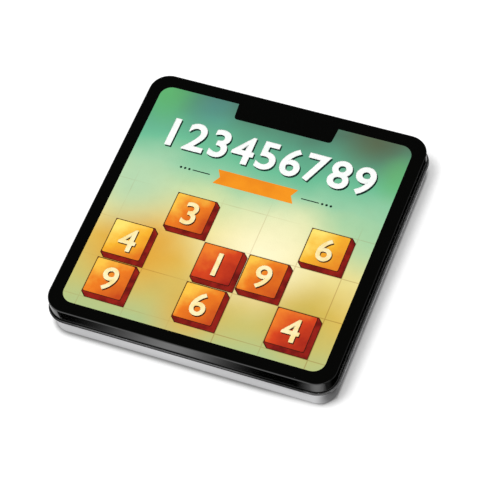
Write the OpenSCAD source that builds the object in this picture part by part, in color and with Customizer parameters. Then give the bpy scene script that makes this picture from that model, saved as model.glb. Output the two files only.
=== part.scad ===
// Travel sudoku set in a flat hinged tin: lid, base, storage tray, steel board and loose number tiles.
// Millimetres. The origin is the middle of the tin's underside, +Z is up and -Y is the front.

/* [Tin] */
// Outside width of the lid over its skirt
case_w = 145; // [135:1:160]
// Outside depth of the lid over its skirt
case_d = 145; // [135:1:160]
// Height of the closed tin
case_h = 21; // [18:0.5:24]
// Height of the lid's skirt, from the top to the foot of the rolled hem
skirt_h = 9.7; // [8.5:0.1:11.5]
// Corner radius of the lid, seen from above
corner_r = 10; // [8:0.5:14]
// Radius of the lid's upper edge
edge_r = 1; // [0.6:0.1:1.5]
// Thickness of the tinplate
sheet_t = 0.3; // [0.25:0.05:0.4]
// Radius of the rolled hem at the foot of the lid
hem_r = 0.7; // [0.5:0.05:0.8]
// Air between the rolled hem and the base
hem_gap = 0.5; // [0.4:0.05:0.6]
// Air between the inside of the lid's skirt and the base
base_gap = 0.65; // [0.6:0.05:0.9]
// Radius of the base's lower edge
base_edge_r = 1.2; // [0.8:0.1:1.6]
// Radius of the curled rim at the top of the base
rim_r = 0.45; // [0.4:0.05:0.6]
// Air between the base's rim and the closed lid
rim_gap = 0.35; // [0.3:0.05:0.8]

/* [Hinge] */
// Radius of the wire hinge pin
pin_r = 0.6; // [0.5:0.05:0.8]
// Radial clearance of the pin in its knuckles
pin_clear = 0.05; // [0.03:0.01:0.08]
// Wall of the rolled knuckles
knuckle_wall = 0.75; // [0.6:0.05:1]
// Length of one hinge over its three knuckles
hinge_len = 18; // [15:1:20]
// Distance of each hinge from the middle of the back, as a share of the width
hinge_share = 0.29; // [0.22:0.01:0.29]

/* [Board and tiles] */
// Plain border of the board round its cells
board_border = 2; // [1.5:0.5:4]
// Thickness of the steel board
board_t = 0.8; // [0.6:0.1:1.2]
// Thickness of the printed grid sheet on the board
grid_sheet_t = 0.2; // [0.15:0.05:0.4]
// Air between two tiles in neighbouring cells
tile_gap = 1; // [0.6:0.1:1.6]
// Corner radius of a tile
tile_r = 1.2; // [0.6:0.1:2]
// Tiles in each full pocket
stack_count = 6; // [4:1:7]

/* [Tray] */
// Thickness of the tray's formed plastic sheet
tray_t = 0.6; // [0.5:0.05:0.8]
// Height from the tray's deck to the top of the closed lid
lid_room = 8; // [7:0.5:9]
// Deck beside the board, on the left and the right
side_land = 13.9; // [13:0.1:16]
// Deck behind the board
back_land = 5.8; // [4:0.2:8]
// Deck between the board and the tile pockets
strip_land = 5.2; // [4:0.2:7]
// Deck in front of the tile pockets
front_land = 5; // [4:0.2:7]
// Width of the ledge that carries the board
ledge_w = 5; // [4:0.5:7]
// Radius of the finger wells beside the board
finger_r = 8.5; // [8:0.5:9.5]
// Depth of the finger wells
finger_depth = 6.5; // [5:0.5:7]

/* [Booklet] */
// Thickness of the closed puzzle booklet
booklet_t = 4; // [3:0.5:5]
// Thickness of its cover
cover_t = 0.3; // [0.2:0.05:0.4]
// Air round the booklet in its well
booklet_gap = 2; // [1.5:0.5:4]

/* [Hidden] */
$fn = 48;
tiny = 0.05;

// Tin
hem_z = case_h - skirt_h;
base_in = sheet_t + base_gap;
hem_shift = hem_r + hem_gap - base_in;
base_w = case_w - 2 * base_in;
base_d = case_d - 2 * base_in;
base_r = corner_r - base_in;
rim_z = case_h - sheet_t - rim_gap - rim_r;
rim_out = tiny;

// Hinge
hinge_x = hinge_share * case_w;
bore_r = pin_r + pin_clear;
knuckle_r = bore_r + knuckle_wall;
hem_reach = hem_r + hem_shift;
knuckle_air = 0.6;
axis_y = case_d / 2 + hem_reach + knuckle_air + knuckle_r;
axis_z = hem_z;
knuckle_gap = 0.3;
side_share = 0.29;
side_knuckle = side_share * (hinge_len - 2 * knuckle_gap);
mid_knuckle = hinge_len - 2 * (side_knuckle + knuckle_gap);
strap_t = 0.35;
strap_drop = 0.1;
strap_root = sheet_t / 2;
pin_head_lip = 0.3;
pin_head_r = pin_r + pin_head_lip;
pin_head_t = 0.5;
pin_head_gap = 0.15;

// Tray and board
rim_clear = 0.5;
foot_clear = 0.15;
tray_in = max(2 * rim_r - rim_out + rim_clear, base_edge_r + foot_clear);
tray_w = base_w - 2 * tray_in;
tray_d = base_d - 2 * tray_in;
tray_r = base_r - tray_in;
tray_foot_z = sheet_t;
pocket_floor_z = tray_foot_z + tray_t;
deck_z = case_h - lid_room;
recess_clear = 0.3;
pocket_clear = 0.4;
rows = 9;
box_rows = 3;
cell_by_w = (tray_w - 2 * (side_land + recess_clear + board_border)) / rows;
free_d = tray_d - back_land - strip_land - front_land - 2 * (recess_clear + board_border + pocket_clear);
cell_by_d = (free_d + tile_gap) / (rows + 1);
cell = min(cell_by_w, cell_by_d);
board_w = rows * cell + 2 * board_border;
board_r = 3;
board_y = tray_d / 2 - back_land - recess_clear - board_w / 2;
seat_z = deck_z - board_t - grid_sheet_t;
recess_w = board_w + 2 * recess_clear;
recess_r = board_r + recess_clear;
well_w = board_w - 2 * ledge_w;
well_r = 4;
booklet_head = 0.8;
well_depth = booklet_t + booklet_head;
well_floor_z = seat_z - well_depth;
sheet_margin = 0.5;

// Tiles
tile_w = cell - tile_gap;
pocket_w = tile_w + 2 * pocket_clear;
pocket_r = tile_r + pocket_clear;
pocket_land = 2;
pocket_pitch = cell + pocket_land;
pocket_y = front_land + pocket_w / 2 - tray_d / 2;
stack_proud = 0.7;
stack_air = tiny;
stack_step = (deck_z + stack_proud - pocket_floor_z) / stack_count;
tile_t = stack_step - stack_air;

// Finger wells
finger_out = 1.2;
finger_x = recess_w / 2 + finger_out;
finger_floor_z = deck_z - finger_depth;
well_wall_x = well_w / 2 + tray_t;

// Booklet
booklet_w = well_w - 2 * booklet_gap;
page_inset = 0.5;
staple_len = 10;
staple_wire = 0.4;
staple_y = booklet_w / 4;

// Flat shapes with rounded corners

// Outline with rounded corners, about the middle
module rounded_outline(w, d, r) {
  square([w - 2 * r, d], center = true);
  square([w, d - 2 * r], center = true);
  for (x = [-1, 1], y = [-1, 1])
    translate([x * (w / 2 - r), y * (d / 2 - r)])
      circle(r);
}

// Plate with rounded corners, standing on z
module rounded_plate(w, d, r, z, t) {
  translate([0, 0, z])
    linear_extrude(t)
      rounded_outline(w, d, r);
}

// Upright wall with rounded corners, w and d over its outside
module rounded_wall(w, d, r, t, z0, z1) {
  translate([0, 0, z0])
    linear_extrude(z1 - z0)
      difference() {
        rounded_outline(w, d, r);
        rounded_outline(w - 2 * t, d - 2 * t, r - t);
      }
}

// Sweeps a profile round a rounded rectangle: x of the profile is the distance outwards from the edge
module swept_profile(w, d, r) {
  for (turn = [0 : 3]) {
    along = turn % 2 == 0 ? d : w;
    across = turn % 2 == 0 ? w : d;
    rotate([0, 0, 90 * turn]) {
      translate([across / 2 - r, along / 2 - r, 0])
        rotate_extrude(angle = 90)
          translate([r, 0])
            children();
      translate([across / 2, along / 2 - r, 0])
        rotate([90, 0, 0])
          linear_extrude(along - 2 * r)
            children();
    }
  }
}

// Quarter of a bent sheet: outer radius r, its middle at the origin, opening to +x and up or down
module bend_profile(r, t, up) {
  intersection() {
    difference() {
      circle(r);
      circle(r - t);
    }
    translate([0, up ? 0 : -r])
      square([r, r]);
  }
}

// Tin

// Section of the lid from its flat top to the rolled hem
module lid_profile() {
  translate([-corner_r, case_h - sheet_t])
    square([corner_r - edge_r, sheet_t]);
  translate([-edge_r, case_h - edge_r])
    bend_profile(edge_r, sheet_t, true);
  translate([-sheet_t, hem_z + hem_r])
    square([sheet_t, skirt_h - edge_r - hem_r]);
  translate([hem_shift, hem_z + hem_r])
    circle(hem_r);
}

// Section of the base from its flat floor to the curled rim
module base_profile() {
  translate([-base_r, 0])
    square([base_r - base_edge_r, sheet_t]);
  translate([-base_edge_r, base_edge_r])
    bend_profile(base_edge_r, sheet_t, false);
  translate([-sheet_t, base_edge_r])
    square([sheet_t, rim_z - base_edge_r]);
  translate([rim_out - rim_r, rim_z])
    circle(rim_r);
}

// Rolled knuckle along X, from x0 to x1 on the hinge axis
module knuckle(x0, x1) {
  translate([x0, axis_y, axis_z])
    rotate([0, 90, 0])
      cylinder(r = knuckle_r, h = x1 - x0);
}

// Bore for the pin, through every knuckle of one hinge
module pin_bore(x) {
  translate([x - hinge_len, axis_y, axis_z])
    rotate([0, 90, 0])
      cylinder(r = bore_r, h = 2 * hinge_len);
}

// Outer knuckles of one hinge and the straps that run to them from the lid's skirt
module lid_knuckles(x) {
  for (side = [-1, 1]) {
    x0 = x + side * hinge_len / 2 - (side > 0 ? side_knuckle : 0);
    knuckle(x0, x0 + side_knuckle);
    translate([x0, case_d / 2 - strap_root, axis_z + knuckle_r - strap_drop - strap_t])
      cube([side_knuckle, axis_y - case_d / 2 + strap_root, strap_t]);
  }
}

// Middle knuckle of one hinge and the strap that runs to it from the base
module base_knuckle(x) {
  knuckle(x - mid_knuckle / 2, x + mid_knuckle / 2);
  translate([x - mid_knuckle / 2, base_d / 2 - strap_root, axis_z - knuckle_r + strap_drop])
    cube([mid_knuckle, axis_y - base_d / 2 + strap_root, strap_t]);
}

module lid_shell() {
  color("black")
    difference() {
      union() {
        swept_profile(case_w, case_d, corner_r)
          lid_profile();
        translate([corner_r - case_w / 2, corner_r - case_d / 2, case_h - sheet_t])
          cube([case_w - 2 * corner_r, case_d - 2 * corner_r, sheet_t]);
        for (side = [-1, 1])
          lid_knuckles(side * hinge_x);
      }
      for (side = [-1, 1])
        pin_bore(side * hinge_x);
    }
}

module base_shell() {
  color("silver")
    difference() {
      union() {
        swept_profile(base_w, base_d, base_r)
          base_profile();
        translate([base_r - base_w / 2, base_r - base_d / 2, 0])
          cube([base_w - 2 * base_r, base_d - 2 * base_r, sheet_t]);
        for (side = [-1, 1])
          base_knuckle(side * hinge_x);
      }
      for (side = [-1, 1])
        pin_bore(side * hinge_x);
    }
}

// Wire pin with a small peened head at each end
module hinge_pin(x) {
  reach = hinge_len / 2 + pin_head_gap;
  translate([x, axis_y, axis_z])
    rotate([0, 90, 0]) {
      cylinder(r = pin_r, h = 2 * reach, center = true);
      for (side = [-1, 1])
        translate([0, 0, side * (reach + pin_head_t / 2)])
          cylinder(r = pin_head_r, h = pin_head_t, center = true);
    }
}

module hinge_pin_left() {
  color("gray")
    hinge_pin(-hinge_x);
}

module hinge_pin_right() {
  color("gray")
    hinge_pin(hinge_x);
}

// Tray

// Middle of a tile pocket, counted from the left
function pocket_x(digit) = (digit - (rows + 1) / 2) * pocket_pitch;

// Part of a finger well that lies beside the booklet well, over the given radius and heights
module finger_space(side, r, z0, z1) {
  intersection() {
    translate([side * finger_x, board_y, z0])
      cylinder(r = r, h = z1 - z0);
    translate([side > 0 ? well_wall_x : -well_wall_x - 2 * r, board_y - r, z0])
      cube([2 * r, 2 * r, z1 - z0]);
  }
}

// Deck with its foot wall, the ledge for the board and the walls and floors of every well
module tray_walls() {
  recess_over = recess_w + 2 * tray_t;
  well_over = well_w + 2 * tray_t;
  pocket_over = pocket_w + 2 * tray_t;
  rounded_plate(tray_w, tray_d, tray_r, deck_z - tray_t, tray_t);
  rounded_wall(tray_w, tray_d, tray_r, tray_t, tray_foot_z, deck_z);
  translate([0, board_y, 0]) {
    rounded_plate(recess_over, recess_over, recess_r + tray_t, seat_z - tray_t, deck_z - seat_z + tray_t);
    rounded_plate(well_over, well_over, well_r + tray_t, well_floor_z - tray_t, well_depth + tray_t);
  }
  for (side = [-1, 1])
    finger_space(side, finger_r + tray_t, finger_floor_z - tray_t, deck_z);
  for (digit = [1 : rows])
    translate([pocket_x(digit), pocket_y, 0])
      rounded_plate(pocket_over, pocket_over, pocket_r + tray_t, tray_foot_z, deck_z - tray_foot_z);
}

// Everything that is open from above
module tray_hollows() {
  above = 1;
  translate([0, board_y, 0]) {
    rounded_plate(recess_w, recess_w, recess_r, seat_z, deck_z - seat_z + above);
    rounded_plate(well_w, well_w, well_r, well_floor_z, deck_z - well_floor_z + above);
  }
  for (side = [-1, 1])
    finger_space(side, finger_r, finger_floor_z, deck_z + above);
  for (digit = [1 : rows])
    translate([pocket_x(digit), pocket_y, 0])
      rounded_plate(pocket_w, pocket_w, pocket_r, pocket_floor_z, deck_z - pocket_floor_z + above);
}

module storage_tray() {
  color("dimgray")
    difference() {
      tray_walls();
      tray_hollows();
    }
}

// Board

module board_plate() {
  color("lightsteelblue")
    translate([0, board_y, 0])
      rounded_plate(board_w, board_w, board_r, seat_z, board_t);
}

module board_grid_sheet() {
  sheet_w = board_w - 2 * sheet_margin;
  color("white")
    translate([0, board_y, 0])
      rounded_plate(sheet_w, sheet_w, board_r - sheet_margin, seat_z + board_t, grid_sheet_t);
}

// Booklet

module booklet_cover() {
  color("orange")
    translate([-booklet_w / 2, board_y - booklet_w / 2, well_floor_z]) {
      cube([booklet_w, booklet_w, cover_t]);
      translate([0, 0, booklet_t - cover_t])
        cube([booklet_w, booklet_w, cover_t]);
      cube([cover_t, booklet_w, booklet_t]);
    }
}

module booklet_pages() {
  color("ivory")
    translate([cover_t - booklet_w / 2, board_y - booklet_w / 2 + page_inset, well_floor_z + cover_t])
      cube([booklet_w - cover_t - page_inset, booklet_w - 2 * page_inset, booklet_t - 2 * cover_t]);
}

// Two flat wire staples in the fold of the cover
module booklet_staples() {
  staple_x = -(booklet_w + staple_wire) / 2;
  color("silver")
    for (side = [-1, 1])
      translate([staple_x, board_y + side * staple_y, well_floor_z + booklet_t / 2])
        cube([staple_wire, staple_len, staple_wire], center = true);
}

// Tiles

// One tile, standing on z
module tile_at(x, y, z) {
  translate([x, y, 0])
    rounded_plate(tile_w, tile_w, tile_r, z, tile_t);
}

// Pocketful of one number
module pocket_stack(digit) {
  for (n = [0 : stack_count - 1])
    tile_at(pocket_x(digit), pocket_y, pocket_floor_z + n * stack_step);
}

// Column of the tile that lies in one row of a box, all counted from 0
function tile_column(row, box) =
  box_rows * box + (2 * (row % box_rows) + box + floor(row / box_rows)) % box_rows;

// Tile on the board: rows are counted from the back and boxes from the left
module board_tile(row, box) {
  middle = (rows - 1) / 2;
  tile_at((tile_column(row, box) - middle) * cell, board_y + (middle - row) * cell, deck_z);
}

module tile_stack_1() {
  color("khaki")
    pocket_stack(1);
}

module tile_stack_2() {
  color("khaki")
    pocket_stack(2);
}

module tile_stack_3() {
  color("khaki")
    pocket_stack(3);
}

module tile_stack_4() {
  color("khaki")
    pocket_stack(4);
}

module tile_stack_5() {
  color("khaki")
    pocket_stack(5);
}

module tile_stack_6() {
  color("khaki")
    pocket_stack(6);
}

module tile_stack_7() {
  color("khaki")
    pocket_stack(7);
}

module tile_stack_8() {
  color("khaki")
    pocket_stack(8);
}

module tile_stack_9() {
  color("khaki")
    pocket_stack(9);
}

module tile_row1_left() {
  color("khaki")
    board_tile(0, 0);
}

module tile_row1_middle() {
  color("khaki")
    board_tile(0, 1);
}

module tile_row1_right() {
  color("khaki")
    board_tile(0, 2);
}

module tile_row2_left() {
  color("khaki")
    board_tile(1, 0);
}

module tile_row2_middle() {
  color("khaki")
    board_tile(1, 1);
}

module tile_row2_right() {
  color("khaki")
    board_tile(1, 2);
}

module tile_row3_left() {
  color("khaki")
    board_tile(2, 0);
}

module tile_row3_middle() {
  color("khaki")
    board_tile(2, 1);
}

module tile_row3_right() {
  color("khaki")
    board_tile(2, 2);
}

module tile_row4_left() {
  color("khaki")
    board_tile(3, 0);
}

module tile_row4_middle() {
  color("khaki")
    board_tile(3, 1);
}

module tile_row4_right() {
  color("khaki")
    board_tile(3, 2);
}

module tile_row5_left() {
  color("khaki")
    board_tile(4, 0);
}

module tile_row5_middle() {
  color("khaki")
    board_tile(4, 1);
}

module tile_row5_right() {
  color("khaki")
    board_tile(4, 2);
}

module tile_row6_left() {
  color("khaki")
    board_tile(5, 0);
}

module tile_row6_middle() {
  color("khaki")
    board_tile(5, 1);
}

module tile_row6_right() {
  color("khaki")
    board_tile(5, 2);
}

module tile_row7_left() {
  color("khaki")
    board_tile(6, 0);
}

module tile_row7_middle() {
  color("khaki")
    board_tile(6, 1);
}

module tile_row7_right() {
  color("khaki")
    board_tile(6, 2);
}

module tile_row8_left() {
  color("khaki")
    board_tile(7, 0);
}

module tile_row8_middle() {
  color("khaki")
    board_tile(7, 1);
}

module tile_row8_right() {
  color("khaki")
    board_tile(7, 2);
}

module tile_row9_left() {
  color("khaki")
    board_tile(8, 0);
}

module tile_row9_middle() {
  color("khaki")
    board_tile(8, 1);
}

module tile_row9_right() {
  color("khaki")
    board_tile(8, 2);
}

base_shell();
lid_shell();
hinge_pin_left();
hinge_pin_right();
storage_tray();
board_plate();
board_grid_sheet();
booklet_cover();
booklet_pages();
booklet_staples();
tile_stack_1();
tile_stack_2();
tile_stack_3();
tile_stack_4();
tile_stack_5();
tile_stack_6();
tile_stack_7();
tile_stack_8();
tile_stack_9();
tile_row1_left();
tile_row1_middle();
tile_row1_right();
tile_row2_left();
tile_row2_middle();
tile_row2_right();
tile_row3_left();
tile_row3_middle();
tile_row3_right();
tile_row4_left();
tile_row4_middle();
tile_row4_right();
tile_row5_left();
tile_row5_middle();
tile_row5_right();
tile_row6_left();
tile_row6_middle();
tile_row6_right();
tile_row7_left();
tile_row7_middle();
tile_row7_right();
tile_row8_left();
tile_row8_middle();
tile_row8_right();
tile_row9_left();
tile_row9_middle();
tile_row9_right();
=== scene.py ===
"""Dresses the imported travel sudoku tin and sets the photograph's view of it."""

import logging
import math
from abc import ABC, abstractmethod
from collections.abc import Callable, Iterable
from dataclasses import dataclass
from enum import Enum, IntEnum

import bpy
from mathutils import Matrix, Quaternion, Vector


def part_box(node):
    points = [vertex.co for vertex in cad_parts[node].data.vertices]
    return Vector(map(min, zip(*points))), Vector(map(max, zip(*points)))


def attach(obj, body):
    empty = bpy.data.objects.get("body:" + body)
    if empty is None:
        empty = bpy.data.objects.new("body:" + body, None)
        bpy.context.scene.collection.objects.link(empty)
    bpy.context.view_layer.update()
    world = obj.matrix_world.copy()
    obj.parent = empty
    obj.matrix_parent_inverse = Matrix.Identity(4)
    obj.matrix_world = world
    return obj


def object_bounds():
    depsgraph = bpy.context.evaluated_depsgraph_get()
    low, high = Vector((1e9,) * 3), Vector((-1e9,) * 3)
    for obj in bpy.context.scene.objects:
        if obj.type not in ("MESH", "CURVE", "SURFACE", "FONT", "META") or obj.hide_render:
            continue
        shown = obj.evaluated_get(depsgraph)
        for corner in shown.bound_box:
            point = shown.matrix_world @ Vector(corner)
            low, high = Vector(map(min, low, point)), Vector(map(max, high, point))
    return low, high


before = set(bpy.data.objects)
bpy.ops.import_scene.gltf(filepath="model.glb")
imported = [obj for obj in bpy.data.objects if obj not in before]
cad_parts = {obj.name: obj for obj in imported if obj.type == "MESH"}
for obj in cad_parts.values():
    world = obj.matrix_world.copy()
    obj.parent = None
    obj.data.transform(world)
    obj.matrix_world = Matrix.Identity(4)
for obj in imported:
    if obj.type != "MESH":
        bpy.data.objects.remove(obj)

Colour = tuple[float, float, float, float]
Point = tuple[float, float]
Spot = tuple[float, float, float]
Span = tuple[float, float]
Piece = bpy.types.Object
Socket = bpy.types.NodeSocket
Value = float | Socket
Inputs = dict[str | int, object]
Sockets = dict[str, Socket]

LOG = logging.getLogger("travel_tin")
CAD_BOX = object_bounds()
MM = 0.001
HEM_REACH = 0.95 * MM
ROWS = 9
BOX_CELLS = 3
BOXES = ("left", "middle", "right")
SOCKET_KINDS = {"Place": "Vector", "Ink": "Color", "Second": "Color", "Color": "Color"}
PRINT_SPECULAR = 0.2
BLACK: Colour = (0.0, 0.0, 0.0, 1.0)
WHITE: Colour = (1.0, 1.0, 1.0, 1.0)


def srgb(*channels: int) -> Colour:
    """The linear colour, with full alpha, of one that a screen shows with channels from 0 to 255."""
    parts = [channel / 255 for channel in channels]
    return *(part / 12.92 if part <= 0.04045 else ((part + 0.055) / 1.055) ** 2.4 for part in parts), 1.0


def tile_column(row: int, box: int) -> int:
    """Column, from 0, of the tile that lies in one row of a box, as in the part's source."""
    band, step = divmod(row, BOX_CELLS)
    return BOX_CELLS * box + (2 * step + box + band) % BOX_CELLS


def tile_number(row: int, box: int) -> int:
    """Number on the tile in one row of a box, from a filled grid that keeps the puzzle's rules."""
    band, step = divmod(row, BOX_CELLS)
    return (4 * (BOX_CELLS * step + band + tile_column(row, box)) + 2) % ROWS + 1


class NodeSheet:
    """Adds and links the nodes of one material, world or node group."""

    def __init__(self, tree: bpy.types.NodeTree) -> None:
        """Takes the tree that the nodes go into."""
        self.tree = tree

    def fill(self, node: bpy.types.Node, inputs: Inputs) -> None:
        """Sets inputs of a node to values, or links them to other sockets.

        Args:
            node: The node.
            inputs: Numbers, colours, vectors or output sockets, by the input's name or place.
        """
        for key, value in inputs.items():
            if isinstance(value, Socket):
                self.tree.links.new(value, node.inputs[key])
            else:
                node.inputs[key].default_value = value

    def add(self, kind: str, inputs: Inputs | None = None, **options: object) -> bpy.types.Node:
        """Adds one node.

        Args:
            kind: Blender's name of the node type.
            inputs: Values or sockets for its inputs, by name or place.
            **options: Properties of the node itself.

        Returns:
            The node.
        """
        node = self.tree.nodes.new(kind)
        for key, value in options.items():
            setattr(node, key, value)
        self.fill(node, inputs or {})
        return node

    def group(self, group: "SharedGroup", inputs: Inputs) -> Sockets:
        """Places a shared group and gives its outputs by name."""
        node = self.add("ShaderNodeGroup", inputs, node_tree=group.tree())
        return dict(node.outputs.items())

    def math(self, operation: str, *values: Value, clamp: bool = False) -> Socket:
        """Arithmetic on numbers, from the left.

        Args:
            operation: Name of the operation.
            *values: One number or socket, or more.
            clamp: Whether each result is kept from 0 to 1.

        Returns:
            The result's socket.
        """
        result = values[0]
        for value in values[1:] or (0.0,):
            node = self.add("ShaderNodeMath", {0: result, 1: value}, operation=operation, use_clamp=clamp)
            result = node.outputs[0]
        return result

    def plus(self, *values: Value) -> Socket:
        """The sum of numbers."""
        return self.math("ADD", *values)

    def minus(self, *values: Value) -> Socket:
        """The first number less the others."""
        return self.math("SUBTRACT", *values)

    def times(self, *values: Value) -> Socket:
        """The product of numbers."""
        return self.math("MULTIPLY", *values)

    def ratio(self, value: Value, whole: Value) -> Socket:
        """A number as a share of another."""
        return self.math("DIVIDE", value, whole)

    def most(self, *values: Value) -> Socket:
        """The largest of numbers."""
        return self.math("MAXIMUM", *values)

    def size(self, value: Value) -> Socket:
        """A number without its sign."""
        return self.math("ABSOLUTE", value)

    def distance(self, across: Value, along: Value) -> Socket:
        """Length of the way that goes so far across and so far along."""
        squares = [self.math("POWER", side, 2.0) for side in (across, along)]
        return self.math("SQRT", self.plus(*squares))

    def off_line(self, value: Value, step: float) -> Socket:
        """How far a number is from the nearest multiple of a step."""
        part = self.math("FRACT", self.plus(self.ratio(value, step), 0.5))
        return self.times(self.size(self.minus(part, 0.5)), step)

    def mix(self, factor: Value, first: object, second: object) -> Socket:
        """Mixes two colours, of which the second has the share of the factor."""
        return self.add("ShaderNodeMix", {0: factor, 6: first, 7: second}, data_type="RGBA").outputs[2]

    def blend(self, factor: Value, first: Value, second: Value) -> Socket:
        """Mixes two numbers, of which the second has the share of the factor."""
        return self.add("ShaderNodeMix", {0: factor, 2: first, 3: second}, data_type="FLOAT").outputs[0]

    def fade(self, value: Value, span: Span) -> Socket:
        """A smooth step from 0 at the span's start to 1 at its end."""
        names = {"Value": value, "From Min": span[0], "From Max": span[1]}
        return self.add("ShaderNodeMapRange", names, interpolation_type="SMOOTHSTEP").outputs[0]

    def band(self, value: Value, rise: Span, fall: Span) -> Socket:
        """A smooth step up and a smooth step down again."""
        return self.times(self.fade(value, rise), self.fade(value, fall))

    def ramp(self, factor: Value, stops: Iterable[tuple[float, Colour]]) -> Socket:
        """A run of colours.

        Args:
            factor: Place along the run, from 0 to 1.
            stops: Place and colour of each stop, in order.

        Returns:
            The colour's socket.
        """
        node = self.add("ShaderNodeValToRGB", {0: factor})
        marks = node.color_ramp.elements
        for count, (place, colour) in enumerate(stops):
            mark = marks[count] if count < len(marks) else marks.new(place)
            mark.position = place
            mark.color = colour
        return node.outputs[0]

    def noise(self, vector: Socket, scale: Value = 1.0, detail: float = 2.0) -> Socket:
        """Cloudy noise from 0 to 1, of so many clouds per metre."""
        names = {"Vector": vector, "Scale": scale, "Detail": detail}
        return self.add("ShaderNodeTexNoise", names).outputs[0]

    def sway(self, vector: Socket, scale: Value, detail: float) -> Socket:
        """Cloudy noise about 0."""
        return self.minus(self.noise(vector, scale, detail), 0.5)

    def place(self) -> Socket:
        """The surface's place in the part's frame, in metres."""
        return self.add("ShaderNodeTexCoord").outputs["Object"]

    def axes(self, vector: Socket) -> list[Socket]:
        """The lengths of a vector along X, Y and Z."""
        return list(self.add("ShaderNodeSeparateXYZ", {0: vector}).outputs)

    def stretched(self, vector: Socket, factors: Spot) -> Socket:
        """A place stretched along the axes, for marks that run one way."""
        return self.add("ShaderNodeMapping", {"Vector": vector, "Scale": factors}).outputs[0]

    def open_air(self, reach: float, samples: int) -> Socket:
        """Share of the surroundings within reach that is free of other pieces."""
        return self.add("ShaderNodeAmbientOcclusion", {"Distance": reach}, samples=samples).outputs["AO"]

    def glow(self, strength: Value) -> Socket:
        """White light of a strength."""
        return self.add("ShaderNodeEmission", {"Color": WHITE, "Strength": strength}).outputs[0]


class SharedGroup(ABC):
    """A node group that several finishes share, made once."""

    name: str
    inputs: tuple[str, ...]
    outputs: tuple[str, ...]

    @abstractmethod
    def draw(self, sheet: NodeSheet, given: Sockets) -> tuple[Socket, ...]:
        """Draws the group's nodes.

        Args:
            sheet: The group's sheet of nodes.
            given: The group's inputs.

        Returns:
            What goes to the outputs, in their order.
        """

    def tree(self) -> bpy.types.NodeTree:
        """Makes the group.

        Returns:
            The group, the same one on every call.
        """
        if self.name in bpy.data.node_groups:
            return bpy.data.node_groups[self.name]
        made = bpy.data.node_groups.new(self.name, "ShaderNodeTree")
        for way, labels in (("INPUT", self.inputs), ("OUTPUT", self.outputs)):
            for label in labels:
                kind = SOCKET_KINDS.get(label, "Float")
                made.interface.new_socket(label, in_out=way, socket_type=f"NodeSocket{kind}")
        sheet = NodeSheet(made)
        given = dict(sheet.add("NodeGroupInput").outputs.items())
        sheet.add("NodeGroupOutput", dict(zip(self.outputs, self.draw(sheet, given))))
        return made


class HandlingMarks(SharedGroup):
    """Uneven gloss and fine bumps from making and handling."""

    name = "handling_marks"
    inputs = ("Place", "Grain", "Gloss", "Spread")
    outputs = ("Roughness", "Height")

    def draw(self, sheet: NodeSheet, given: Sockets) -> tuple[Socket, ...]:
        """Lets broad smears swing the gloss and reads the bumps from fine noise.

        Args:
            sheet: The group's sheet of nodes.
            given: The group's inputs.

        Returns:
            The roughness and the height of the bumps.
        """
        swing = sheet.times(sheet.sway(given["Place"], scale=45.0, detail=4.0), given["Spread"])
        gloss = sheet.math("ADD", given["Gloss"], swing, clamp=True)
        return gloss, sheet.noise(given["Place"], given["Grain"])


class LidSkin(SharedGroup):
    """Tells the bare inside of the lid's sheet from its lacquered outside, and how far out a place is."""

    name = "lid_inside"
    inputs = ("Place", "Half", "Corner", "Edge", "Top", "Depth")
    outputs = ("Inside", "Skin")

    def draw(self, sheet: NodeSheet, given: Sockets) -> tuple[Socket, ...]:
        """Measures outwards from the rounded plan and then over the rounded upper edge.

        Args:
            sheet: The group's sheet of nodes.
            given: The group's inputs.

        Returns:
            Whether the place is inside, and its distance outwards from the skin.
        """
        x, y, z = sheet.axes(given["Place"])
        corner, edge = given["Corner"], given["Edge"]

        def beyond(first: Socket, second: Socket, radius: Socket) -> Socket:
            """Distance outwards from a rounded corner.

            Args:
                first: Distance past the rounding's middle one way.
                second: Distance past it the other way.
                radius: The corner's radius.

            Returns:
                The distance.
            """
            slant = sheet.distance(sheet.most(first, 0.0), sheet.most(second, 0.0))
            within = sheet.math("MINIMUM", sheet.most(first, second), 0.0)
            return sheet.minus(sheet.plus(slant, within), radius)

        core = sheet.minus(given["Half"], corner)
        across, along = (sheet.minus(sheet.size(axis), core) for axis in (x, y))
        plan = sheet.plus(beyond(across, along, corner), edge)
        rise = sheet.minus(z, sheet.minus(given["Top"], edge))
        skin = beyond(plan, rise, edge)
        return sheet.math("LESS_THAN", skin, sheet.times(given["Depth"], -1.0)), skin


class MottledInk(SharedGroup):
    """Printed colour with the soft unevenness of a painted picture."""

    name = "mottled_ink"
    inputs = ("Place", "Ink", "Second", "Patch")
    outputs = ("Color",)
    turn: Span = (0.35, 0.7)

    def draw(self, sheet: NodeSheet, given: Sockets) -> tuple[Socket, ...]:
        """Mixes the two inks by soft noise."""
        share = sheet.fade(sheet.noise(given["Place"], given["Patch"], detail=4.0), self.turn)
        return (sheet.mix(share, given["Ink"], given["Second"]),)


@dataclass(frozen=True)
class Handling:
    """How uneven a surface's gloss is and how fine its bumps are, per metre."""

    gloss: float = 0.4
    spread: float = 0.08
    grain: float = 900.0
    bump: float = 0.03
    depth: float = 0.05 * MM

    def draw(self, sheet: NodeSheet) -> Inputs:
        """Draws the marks of handling.

        Args:
            sheet: The material's sheet of nodes.

        Returns:
            The shader's roughness and normal.
        """
        given = {"Place": sheet.place(), "Grain": self.grain, "Gloss": self.gloss, "Spread": self.spread}
        marks = sheet.group(HandlingMarks(), given)
        relief = {"Strength": self.bump, "Distance": self.depth, "Height": marks["Height"]}
        return {"Roughness": marks["Roughness"], "Normal": sheet.add("ShaderNodeBump", relief).outputs[0]}


def printed(colour: Socket) -> Inputs:
    """The shader's inputs for a printed colour."""
    return {"Base Color": colour, "Specular IOR Level": PRINT_SPECULAR}


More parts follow.
